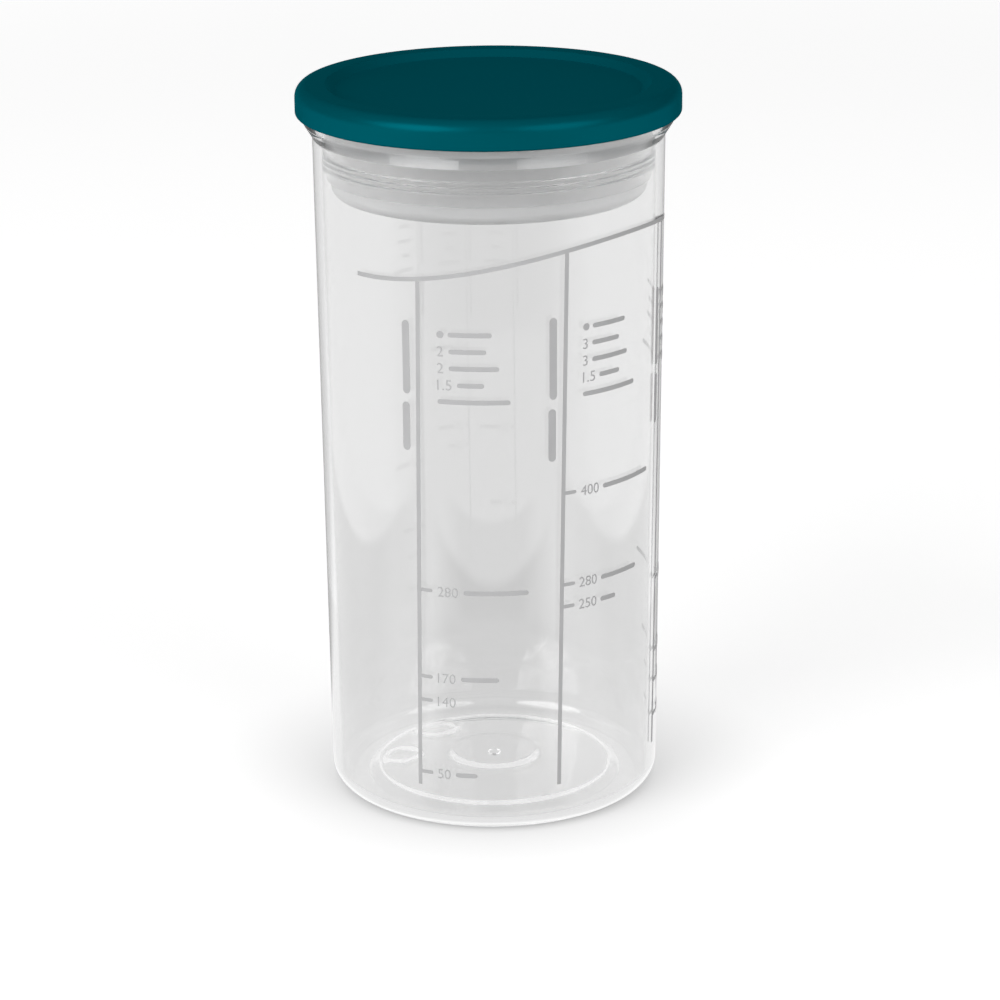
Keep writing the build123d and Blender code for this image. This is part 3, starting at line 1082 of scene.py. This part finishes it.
class FlatPrint:
    """Print that is drawn flat: X is the place round the wall and Y is the height."""

    def __init__(self):
        self.shape = bmesh.new()

    def face(self, points):
        self.shape.faces.new([self.shape.verts.new((x, y, 0)) for x, y in points])

    def strip(self, low, high, width, steps):
        """A straight line of one width, from its lower end to its upper one."""
        low, high = Vector(low), Vector(high)
        side = Vector((width / 2, 0))
        for step in range(steps):
            start = low.lerp(high, step / steps)
            end = low.lerp(high, (step + 1) / steps)
            self.face([start - side, start + side, end + side, end - side])

    def bar(self, start, end, width):
        """A line with round ends, level or upright, in short lengths that can bend round the wall."""
        start, end = Vector(start), Vector(end)
        along = (end - start).normalized()
        side = Vector((-along.y, along.x)) * width / 2
        round_end = along * width / 2
        first, last = start + round_end, end - round_end
        steps = max(1, ceil((last - first).length / bar_step))
        for step in range(steps):
            near = first.lerp(last, step / steps)
            far = first.lerp(last, (step + 1) / steps)
            self.face([near + side, near - side, far - side, far + side])
        for centre, outwards in ((first, -1), (last, 1)):
            swings = [pi * step / bar_end_steps for step in range(bar_end_steps + 1)]
            arc = [centre + outwards * (side * cos(swing) * -1 + round_end * sin(swing)) for swing in swings]
            self.face(arc)

    def figures(self, text, start, height):
        """Plain figures, from their lower left corner. Returns how wide they are."""
        curve = bpy.data.curves.new("figures", "FONT")
        curve.body = text
        curve.resolution_u = 4
        draft = bpy.data.objects.new("figures_draft", curve)
        bpy.context.scene.collection.objects.link(draft)
        depsgraph = bpy.context.evaluated_depsgraph_get()
        depsgraph.update()
        mesh = bpy.data.meshes.new_from_object(draft.evaluated_get(depsgraph), depsgraph=depsgraph)
        bpy.data.objects.remove(draft)
        bpy.data.curves.remove(curve)
        tall = max(vertex.co.y for vertex in mesh.vertices)
        left = min(vertex.co.x for vertex in mesh.vertices)
        right = max(vertex.co.x for vertex in mesh.vertices)
        move = Matrix.Translation((*start, 0)) @ Matrix.Scale(height / tall, 4)
        mesh.transform(move @ Matrix.Translation((-left, 0, 0)))
        self.shape.from_mesh(mesh)
        bpy.data.meshes.remove(mesh)
        return (right - left) * height / tall

    def finished(self, name):
        """The flat mesh, with its faces towards +Z."""
        bmesh.ops.remove_doubles(self.shape, verts=self.shape.verts, dist=merge_gap)
        for face in self.shape.faces:
            face.normal_update()
            if face.normal.z < 0:
                face.normal_flip()
        mesh = bpy.data.meshes.new(name)
        self.shape.to_mesh(mesh)
        self.shape.free()
        return mesh


def wall_values():
    """The values that every tree that prints on the wall takes."""
    cup = bpy.context.scene.shaker_cup
    guide = bpy.context.scene.shaker_print
    return {
        "Foot Radius": cup.foot_radius,
        "Taper": cup.taper,
        "Unrolled Radius": outer_radius(guide.curve_low),
        "Lift": guide.ink_lift,
        "Ink Thickness": guide.ink,
        "Finish": ink_finish(),
    }


def curve_height(guide, place_round):
    """Height of the filling curve at a place round the wall."""
    phase = pi * (place_round - guide.curve_low_place) / guide.curve_run
    return guide.curve_low + guide.curve_rise * (1 - cos(phase)) / 2


class Scale:
    """One upright line of the guide: its place, the heights of its ticks and the figures beside them."""

    def __init__(self, node, foot_place, amounts, title, recipe):
        self.node = node
        self.foot_place = foot_place
        self.amounts = amounts
        self.title = title
        self.recipe = recipe

    def line_place(self, guide, height):
        """Where the line's middle lies round the wall at a height."""
        top = curve_height(guide, self.foot_place + guide.scale_lean)
        return self.foot_place + guide.scale_lean * (height - guide.scale_bottom) / (top - guide.scale_bottom)


# Each amount is a tick's height, the figures beside it and the length of the bar after them.
# A title is its lower and upper end, and a recipe is its place and top, and rows of figures and a bar.
scales = (
    Scale(
        "scale_left",
        -19.3 * mm,
        (
            (62.3 * mm, "280", 16.0 * mm),
            (40.1 * mm, "170", 9.5 * mm),
            (34.0 * mm, "140", 0.0),
            (15.1 * mm, "50", 5.5 * mm),
        ),
        ((97.0 * mm, 109.0 * mm), (111.0 * mm, 129.0 * mm)),
        (
            -12.0 * mm,
            126.3 * mm,
            (("", 10.5 * mm), ("2", 9.0 * mm), ("2", 12.0 * mm), ("1.5", 6.5 * mm), ("", 17.5 * mm)),
        ),
    ),
    Scale(
        "scale_middle",
        16.6 * mm,
        (
            (86.2 * mm, "400", 18.0 * mm),
            (63.1 * mm, "280", 13.0 * mm),
            (57.5 * mm, "250", 5.0 * mm),
        ),
        ((94.5 * mm, 107.5 * mm), (109.8 * mm, 129.8 * mm)),
        (
            23.8 * mm,
            126.5 * mm,
            (("", 10.5 * mm), ("3", 8.5 * mm), ("3", 11.5 * mm), ("1.5", 6.5 * mm), ("", 17.0 * mm)),
        ),
    ),
    Scale(
        "scale_right",
        54.9 * mm,
        (
            (55.0 * mm, "240", 14.0 * mm),
            (36.0 * mm, "150", 9.0 * mm),
            (27.9 * mm, "110", 5.0 * mm),
            (18.9 * mm, "70", 6.0 * mm),
        ),
        ((96.0 * mm, 108.5 * mm), (110.5 * mm, 130.0 * mm)),
        (
            62.1 * mm,
            126.5 * mm,
            (("", 10.5 * mm), ("2", 8.5 * mm), ("1", 11.5 * mm), ("2", 6.5 * mm), ("", 17.0 * mm)),
        ),
    ),
)
row_pitch = 4.1 * mm          # between the rows of a recipe
title_gap = 2.6 * mm          # from a line's left edge to its title's middle
title_width = 1.9 * mm
label_gap = 1.3 * mm          # after a tick and between figures and their bar
label_drop = 1.3 * mm         # the figures' foot lies this far below the tick's middle
bullet_share = 0.72           # a recipe's bullet over the height of a figure


def amounts_of(scale, guide):
    """The figures and bars of one scale, drawn flat."""
    flat = FlatPrint()
    tall = guide.figure_height
    for height, figures, bar in scale.amounts:
        left = scale.line_place(guide, height) + guide.line_width / 2 + guide.tick_length + label_gap
        wide = flat.figures(figures, (left, height - label_drop), tall)
        if bar:
            start = left + wide + label_gap
            middle = height - label_drop + tall / 2
            flat.bar((start, middle), (start + bar, middle), guide.word_bar)
    for low, high in scale.title:
        across = scale.line_place(guide, (low + high) / 2) - guide.line_width / 2 - title_gap
        flat.bar((across, low), (across, high), title_width)
    left, top, rows = scale.recipe
    bullet = tall * bullet_share
    flat.bar((left - bullet / 2, top), (left + bullet / 2 + merge_gap * 4, top), bullet)
    for row, (figures, bar) in enumerate(rows):
        middle = top - row * row_pitch
        start = left + (bullet if row == 0 else -bullet / 2)
        if figures:
            start += flat.figures(figures, (start, middle - tall / 2), tall) + label_gap
        flat.bar((start, middle), (start + bar, middle), guide.word_bar)
    return flat.finished(scale.node + "_amounts_flat")


# The stage

def camera_matrix(stage):
    """The camera's place and turn, from its distance, height, tilt and lean."""
    ahead = Vector((0, cos(stage.camera_tilt), -sin(stage.camera_tilt)))
    level = Vector((1, 0, 0))
    up = level.cross(ahead)
    right = level * cos(stage.camera_roll) - up * sin(stage.camera_roll)
    above = right.cross(ahead)
    turn = Matrix((right, above, -ahead)).transposed().to_4x4()
    return Matrix.Translation((0, -stage.camera_distance, stage.camera_height)) @ turn


def make_camera(stage):
    lens = bpy.data.cameras.new("photo_camera")
    lens.lens = lens.sensor_width * stage.focal_share
    lens.shift_x = stage.shift_right
    lens.shift_y = stage.shift_up
    camera = bpy.data.objects.new("photo_camera", lens)
    camera.matrix_world = camera_matrix(stage)
    bpy.context.scene.collection.objects.link(camera)
    bpy.context.scene.camera = camera


def soft_step(tree, value, edge, softness, rising=True):
    """A mask that goes from 0 to 1 as a value passes an edge, or from 1 to 0 if it isn't rising."""
    low, high = (0.0, 1.0) if rising else (1.0, 0.0)
    inputs = {
        "Value": value,
        "From Min": edge - softness / 2,
        "From Max": edge + softness / 2,
        "To Min": low,
        "To Max": high,
    }
    return place(tree, "ShaderNodeMapRange", inputs, interpolation_type="SMOOTHSTEP").outputs[0]


# How bright the set is where clear plastic mirrors it, by the bearing from straight in front, in degrees
table_tones = (
    (0, 0.35), (26, 0.35), (38, 1.2), (66, 1.2), (78, 0.92), (135, 0.92), (150, 0.82), (180, 0.82)
)
card_tones = (
    (0, 1.2), (45, 1.2), (52, 1.4), (62, 1.45), (68, 1.65), (95, 1.55), (140, 0.95), (180, 0.82)
)
side_shade = ((0, 1.0), (130, 1.0), (142, 0.35), (180, 0.35))
brightest_tone = 2.0
shade_samples = 16            # rays that look for the shaker's shade on the paper
floor_corners = 96
one_mirroring = 0.5           # a ray's count of mirrorings is over this from the first one on
both_walls = 2.5              # its count of passed surfaces is over this behind both walls


def tone_by_bearing(tree, bearing, stops):
    """A brightness that changes with the bearing as a list of stops says."""
    ramp = place(tree, "ShaderNodeValToRGB", {0: maths(tree, "DIVIDE", bearing, pi)})
    elements = ramp.color_ramp.elements
    while len(elements) < len(stops):
        elements.new(1.0)
    for element, (degrees_round, tone) in zip(elements, stops):
        element.position = degrees_round / 180
        element.color = (*[tone / brightest_tone] * 3, 1.0)
    return maths(tree, "MULTIPLY", ramp.outputs[0], brightest_tone)


def between(tree, share, first, second):
    return place(tree, "ShaderNodeMix", {0: share, 2: first, 3: second}, data_type="FLOAT").outputs[0]


def far_away(tree, stage):
    """A mask of the floor's far parts, and the distance from the shaker's axis that it is made from."""
    position = place(tree, "ShaderNodeNewGeometry").outputs["Position"]
    away = place(tree, "ShaderNodeVectorMath", {0: position}, operation="LENGTH").outputs["Value"]
    return soft_step(tree, away, stage.far_fade, stage.far_fade), away


def set_tones(tree, stage):
    """Brightness of the set, a grey table with white cards round it: as mirrored, and as seen through.

    What is seen through the cup without a mirroring looks the same from every side.
    """
    position = place(tree, "ShaderNodeNewGeometry").outputs["Position"]
    spot = place(tree, "ShaderNodeSeparateXYZ", {0: position}).outputs
    ray = place(tree, "ShaderNodeLightPath").outputs
    unmirrored = maths(tree, "LESS_THAN", ray["Glossy Depth"], one_mirroring)
    past_both_walls = maths(tree, "GREATER_THAN", ray["Transmission Depth"], both_walls)
    behind = maths(tree, "MULTIPLY", maths(tree, "ABSOLUTE", spot["Y"]), -1.0)
    ahead = between(tree, unmirrored, maths(tree, "MULTIPLY", spot["Y"], -1.0), behind)
    across = maths(tree, "ABSOLUTE", spot["X"])
    bearing = maths(tree, "ARCTAN2", across, ahead)
    faded, away = far_away(tree, stage)
    soft = stage.edge_softness
    past_front = soft_step(tree, ahead, stage.table_front, soft)
    past_side = soft_step(tree, across, stage.table_side, soft)
    past_table = maths(tree, "MAXIMUM", past_front, past_side)
    table = tone_by_bearing(tree, bearing, table_tones)
    cards = tone_by_bearing(tree, bearing, card_tones)
    tone = between(tree, past_table, table, cards)
    in_front = soft_step(tree, bearing, stage.room_bearing, stage.room_bearing, rising=False)
    past_cards = soft_step(tree, away, stage.card_reach, stage.room_softness)
    tone = between(tree, maths(tree, "MULTIPLY", in_front, past_cards), tone, stage.room_level)
    under = soft_step(tree, away, stage.under_reach, stage.under_softness, rising=False)
    sides_dimmed = maths(tree, "MULTIPLY", tone, tone_by_bearing(tree, bearing, side_shade))
    mirrored = between(tree, under, sides_dimmed, stage.under_level)
    far = between(tree, faded, stage.far_level, stage.through_level)
    straight = maths(tree, "MULTIPLY", unmirrored, past_both_walls)
    at_foot = soft_step(tree, away, stage.foot_reach, stage.foot_softness, rising=False)
    return mirrored, between(tree, at_foot, between(tree, straight, tone, far), stage.foot_level)


def floor_finish(stage):
    """White paper that keeps the shaker's soft shadow, with a painted contact shadow in its own glow next to
    the shaker, and that glossy surfaces see as a set.
    """
    material, tree, output = new_material("white_floor")
    paper = place(tree, "ShaderNodeBsdfDiffuse", {"Color": (*[stage.paper_tone] * 3, 1)})
    # Painted contact shadow: ambient occlusion dims the paper's own glow next to the shaker, on top of the
    # real shadow that the lamps cast on the paper.
    painted_contact_shade = place(tree, "ShaderNodeAmbientOcclusion", {"Distance": stage.shade_reach})
    painted_contact_shade.samples = shade_samples
    paper_glow = between(tree, painted_contact_shade.outputs["AO"], stage.shade_glow, stage.paper_glow)
    faded, _ = far_away(tree, stage)
    glow = place(tree, "ShaderNodeEmission", {"Strength": between(tree, faded, paper_glow, 1.0)})
    seen = place(tree, "ShaderNodeAddShader", {0: paper.outputs[0], 1: glow.outputs[0]})
    tones = set_tones(tree, stage)
    mirrored, through = (place(tree, "ShaderNodeEmission", {"Strength": tone}) for tone in tones)
    ray = place(tree, "ShaderNodeLightPath").outputs
    for_diffuse = place(tree, "ShaderNodeBsdfDiffuse", {"Color": (*[stage.bounce_tone] * 3, 1)})
    choice = for_diffuse
    for test, shader in (
        ("Is Camera Ray", seen),
        ("Is Glossy Ray", mirrored),
        ("Is Transmission Ray", through),
    ):
        choice = place(
            tree, "ShaderNodeMixShader", {0: ray[test], 1: choice.outputs[0], 2: shader.outputs[0]}
        )
    tree.links.new(choice.outputs[0], output.inputs["Surface"])
    return material


def make_floor(stage):
    mesh = bpy.data.meshes.new("floor")
    edge = [(x, y, 0) for x, y in circle(stage.floor_radius, floor_corners)]
    mesh.from_pydata(edge, [], [range(floor_corners)])
    mesh.materials.append(floor_finish(stage))
    floor = bpy.data.objects.new("floor", mesh)
    bpy.context.scene.collection.objects.link(floor)


def make_world(stage):
    """White surroundings for the camera, dimmer for lighting, and darker overhead where they are mirrored."""
    world = bpy.data.worlds.new("studio")
    world.use_nodes = True
    tree = world.node_tree
    tree.nodes.clear()
    direction = place(tree, "ShaderNodeTexCoord").outputs["Generated"]
    height = place(tree, "ShaderNodeSeparateXYZ", {0: direction}).outputs["Z"]
    overhead = soft_step(tree, height, stage.overhead_edge, stage.overhead_softness)
    drop = maths(tree, "MULTIPLY", overhead, stage.horizon_level - stage.overhead_level)
    mirrored = maths(tree, "SUBTRACT", stage.horizon_level, drop)
    ray = place(tree, "ShaderNodeLightPath").outputs
    came_through = maths(tree, "GREATER_THAN", ray["Transmission Depth"], 0.5)
    seen_through = maths(tree, "MAXIMUM", ray["Is Transmission Ray"], came_through)
    level = between(tree, overhead, stage.world_level, stage.top_level)
    for test, brightness in (
        (ray["Is Glossy Ray"], mirrored),
        (seen_through, stage.through_level),
        (ray["Is Camera Ray"], 1.0),
    ):
        level = between(tree, test, level, brightness)
    background = place(tree, "ShaderNodeBackground", {"Strength": level})
    background.inputs["Color"].default_value = (1, 1, 1, 1)
    output = place(tree, "ShaderNodeOutputWorld")
    tree.links.new(background.outputs[0], output.inputs["Surface"])
    bpy.context.scene.world = world


def make_softbox(name, at, size, power):
    """A round soft light that faces the middle of the shaker."""
    light = bpy.data.lights.new(name, "AREA")
    light.shape = "DISK"
    light.size = size
    light.energy = power
    box = bpy.data.objects.new(name, light)
    aim = Vector((0, 0, cap_high.z / 2)) - Vector(at)
    box.matrix_world = Matrix.Translation(Vector(at)) @ aim.to_track_quat("-Z", "Y").to_matrix().to_4x4()
    bpy.context.scene.collection.objects.link(box)
    return box


# Operators

class ShakerOperator:
    """What all of the shaker's operators share"""

    bl_options = {"REGISTER", "UNDO"}


class SHAKER_OT_cup(ShakerOperator, bpy.types.Operator):
    """Make the clear cup"""

    bl_idname = "shaker.cup"
    bl_label = "Clear cup"

    def execute(self, context):
        cup = context.scene.shaker_cup
        shape = FloorShape(cup)
        mesh = turned_mesh("clear_cup", cup_outline(cup, shape), cup_finish())
        finish = mesh.materials[mesh.polygons[0].material_index]
        add_to(mesh, floor_mesh("clear_cup_floor", cup, shape), gap=floor_gap)
        mesh.shade_smooth()
        mesh.materials.clear()
        mesh.materials.append(finish)
        finished_piece("clear_cup", mesh, "cup", "clear_cup", "cup_body")
        return {"FINISHED"}


class SHAKER_OT_cap(ShakerOperator, bpy.types.Operator):
    """Make the coloured cap"""

    bl_idname = "shaker.cap"
    bl_label = "Cap"

    def execute(self, context):
        mesh = turned_mesh("teal_cap", cap_outline(context.scene.shaker_lid), cap_finish())
        finished_piece("teal_cap", mesh, "lid", "teal_cap", "lid_cap")
        return {"FINISHED"}


class SHAKER_OT_plug(ShakerOperator, bpy.types.Operator):
    """Make the hollow plug under the cap"""

    bl_idname = "shaker.plug"
    bl_label = "Plug"

    def execute(self, context):
        mesh = turned_mesh("clear_plug", plug_outline(context.scene.shaker_lid), plug_finish())
        finished_piece("clear_plug", mesh, "lid", "clear_plug", "lid_plug")
        return {"FINISHED"}


class SHAKER_OT_seal(ShakerOperator, bpy.types.Operator):
    """Make the lipped seal round the plug"""

    bl_idname = "shaker.seal"
    bl_label = "Seal"

    def execute(self, context):
        mesh = turned_mesh("lipped_seal", seal_outline(context.scene.shaker_lid), seal_finish())
        finished_piece("lipped_seal", mesh, "lid", "seal_silicone", "seal_ring")
        return {"FINISHED"}


class SHAKER_OT_filling_curve(ShakerOperator, bpy.types.Operator):
    """Print the filling curve on the wall"""

    bl_idname = "shaker.filling_curve"
    bl_label = "Filling curve"

    def execute(self, context):
        guide = context.scene.shaker_print
        values = {
            "Start": guide.curve_start,
            "End": guide.curve_end,
            "Low Place": guide.curve_low_place,
            "Low Height": guide.curve_low,
            "Run": guide.curve_run,
            "Rise": guide.curve_rise,
            "Line Width": guide.line_width,
            **wall_values(),
        }
        mesh = made_by(curve_tree(), "filling_curve", bpy.data.meshes.new("empty"), values)
        finished_piece("filling_curve", mesh, "cup", "grey_ink", "fill_curve")
        return {"FINISHED"}


class SHAKER_OT_scales(ShakerOperator, bpy.types.Operator):
    """Print the upright lines and their ticks"""

    bl_idname = "shaker.scales"
    bl_label = "Scales"

    def execute(self, context):
        guide = context.scene.shaker_print
        wall_tree = group_of("print_on_wall", wall_print_tree)
        ticks_tree = tick_tree()
        tick_values = {"Tick Length": guide.tick_length, "Tick Width": guide.tick_width, **wall_values()}
        for scale in scales:
            flat = FlatPrint()
            top_place = scale.foot_place + guide.scale_lean
            top = curve_height(guide, top_place) - guide.line_width / 2 - guide.join_gap
            foot = (scale.foot_place, guide.scale_bottom)
            flat.strip(foot, (top_place, top), guide.line_width, line_steps)
            line = made_by(wall_tree, scale.node + "_line", flat.finished("flat_line"), wall_values())
            starts = bpy.data.meshes.new("tick_starts")
            edge = guide.line_width / 2 + guide.join_gap
            points = [(scale.line_place(guide, height) + edge, height, 0) for height, _, _ in scale.amounts]
            starts.from_pydata(points, [], [])
            add_to(line, made_by(ticks_tree, scale.node + "_ticks", starts, tick_values))
            finished_piece(scale.node + "_print", line, "cup", "grey_ink", scale.node)
        return {"FINISHED"}


class SHAKER_OT_amounts(ShakerOperator, bpy.types.Operator):
    """Print the figures and bars beside the scales"""

    bl_idname = "shaker.amounts"
    bl_label = "Figures and bars"

    def execute(self, context):
        guide = context.scene.shaker_print
        wall_tree = group_of("print_on_wall", wall_print_tree)
        for scale in scales:
            name = scale.node + "_amounts"
            mesh = made_by(wall_tree, name, amounts_of(scale, guide), wall_values())
            finished_piece(name, mesh, "cup", "grey_ink")
        return {"FINISHED"}


class SHAKER_OT_stage(ShakerOperator, bpy.types.Operator):
    """Set up the floor, the surroundings, the lights and the camera"""

    bl_idname = "shaker.stage"
    bl_label = "Stage"

    def execute(self, context):
        stage = context.scene.shaker_stage
        make_floor(stage)
        make_world(stage)
        make_softbox("key_light", stage.key_place, stage.key_size, stage.key_power)
        make_softbox("fill_light", stage.fill_place, stage.fill_size, stage.fill_power)
        make_camera(stage)
        context.scene.view_settings.view_transform = "Standard"
        return {"FINISHED"}


class SHAKER_PT_panel(bpy.types.Panel):
    """Lists the shaker's sizes, finishes and pieces"""

    bl_label = "Salad dressing shaker"
    bl_idname = "SHAKER_PT_panel"
    bl_space_type = "VIEW_3D"
    bl_region_type = "UI"
    bl_category = "Shaker"

    def draw(self, context):
        for operator in operators:
            self.layout.operator(operator.bl_idname)
        for holder in property_holders:
            box = self.layout.box()
            settings = getattr(context.scene, holder)
            for name in settings.bl_rna.properties.keys():
                if name not in ("rna_type", "name"):
                    box.prop(settings, name)


operators = (
    SHAKER_OT_cup,
    SHAKER_OT_plug,
    SHAKER_OT_seal,
    SHAKER_OT_cap,
    SHAKER_OT_filling_curve,
    SHAKER_OT_scales,
    SHAKER_OT_amounts,
    SHAKER_OT_stage,
)
property_holders = {
    "shaker_cup": ShakerCupSizes,
    "shaker_lid": ShakerLidSizes,
    "shaker_print": ShakerPrintSizes,
    "shaker_finishes": ShakerFinishes,
    "shaker_stage": ShakerStageSizes,
}


def register():
    for group in (*property_holders.values(), *operators, SHAKER_PT_panel):
        bpy.utils.register_class(group)
    for name, group in property_holders.items():
        setattr(bpy.types.Scene, name, PointerProperty(type=group))


def unregister():
    for name in property_holders:
        delattr(bpy.types.Scene, name)
    for group in (SHAKER_PT_panel, *reversed(operators), *reversed(property_holders.values())):
        bpy.utils.unregister_class(group)


def main():
    """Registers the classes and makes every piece."""
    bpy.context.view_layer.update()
    register()
    for operator in operators:
        family, name = operator.bl_idname.split(".")
        getattr(getattr(bpy.ops, family), name)()


if __name__ == "__main__":
    main()
